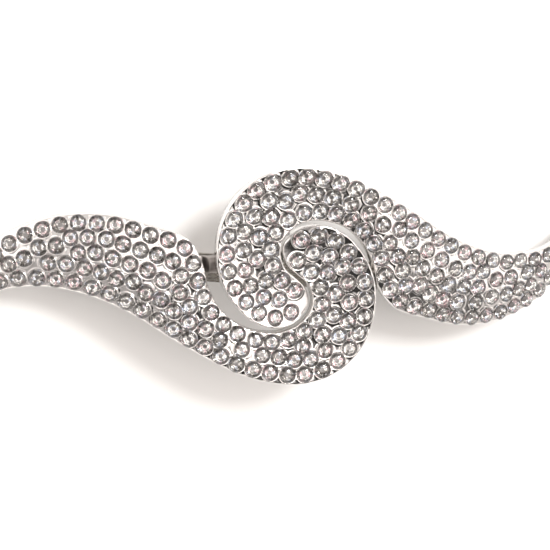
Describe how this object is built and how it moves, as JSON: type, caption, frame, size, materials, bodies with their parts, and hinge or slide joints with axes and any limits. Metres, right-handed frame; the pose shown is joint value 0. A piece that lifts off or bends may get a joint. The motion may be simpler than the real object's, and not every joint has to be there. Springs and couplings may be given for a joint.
{
  "type": "rhinestone hair clip",
  "caption": "Arched swirl hair clip: two interlocking comma-shaped castings paved with clear round stones, on a spring barrette with a hinged clasp arm and squeeze catch.",
  "frame": {"origin": "under the middle of the swirl, on the surface that the clip lies on when it rests on its back", "axes": "+X along the clip towards the hinge end of the barrette, +Y across it, +Z out of its jewelled front"},
  "size_m": [0.0906, 0.0292, 0.0158],
  "materials": {
    "rhodium_plate": "polished cast zinc alloy with a bright rhodium-tone plate",
    "crystal": "clear faceted glass chatons with a silver foil back",
    "nickel_steel": "stamped steel strip, nickel plated, softly burnished",
    "spring_steel": "tempered spring steel, nickel plated"
  },
  "bodies": {
    "clip_body": {"left_scroll": "rhodium_plate", "right_scroll": "rhodium_plate", "left_tip_stones": "crystal", "left_wing_stones": "crystal", "left_shoulder_stones": "crystal", "left_head_stones": "crystal", "right_tip_stones": "crystal", "right_wing_stones": "crystal", "right_shoulder_stones": "crystal", "right_head_stones": "crystal", "left_bridge": "rhodium_plate", "right_bridge": "rhodium_plate", "base_plate": "nickel_steel", "left_solder_pad": "nickel_steel", "right_solder_pad": "nickel_steel", "hinge_pin": "nickel_steel", "bow_rivet": "nickel_steel", "catch_plate": "nickel_steel", "catch_rivet": "nickel_steel"},
    "clasp": {"clasp_arm": "nickel_steel"},
    "bow": {"tension_bow": "spring_steel"},
    "rear_tab": {"rear_squeeze_tab": "spring_steel"},
    "front_tab": {"front_squeeze_tab": "spring_steel"}
  },
  "joints": [
    {"name": "clasp_hinge", "type": "hinge", "parent": "clip_body", "child": "clasp", "pos_m": [0.02941, -0.00281, 0.0018], "axis": [-0.0785, -0.9969, 0], "range_deg": [0, 70]},
    {"name": "bow_flex", "type": "hinge", "parent": "clip_body", "child": "bow", "pos_m": [0.02293, -0.0023, 0.00639], "axis": [0.0785, 0.9969, 0], "range_deg": [0, 1], "stiffness_Nm_per_rad": 5},
    {"name": "rear_tab_squeeze", "type": "hinge", "parent": "clip_body", "child": "rear_tab", "pos_m": [-0.02732, 0.0029, 0.0026], "axis": [-0.9969, 0.0785, 0], "range_deg": [0, 8], "stiffness_Nm_per_rad": 0.08},
    {"name": "front_tab_squeeze", "type": "hinge", "parent": "clip_body", "child": "front_tab", "pos_m": [-0.02751, 0.00041, 0.0026], "axis": [0.9969, -0.0785, 0], "range_deg": [0, 8]}
  ],
  "couplings": [
    {"joint": "front_tab_squeeze", "follows": "rear_tab_squeeze", "ratio": 1}
  ]
}
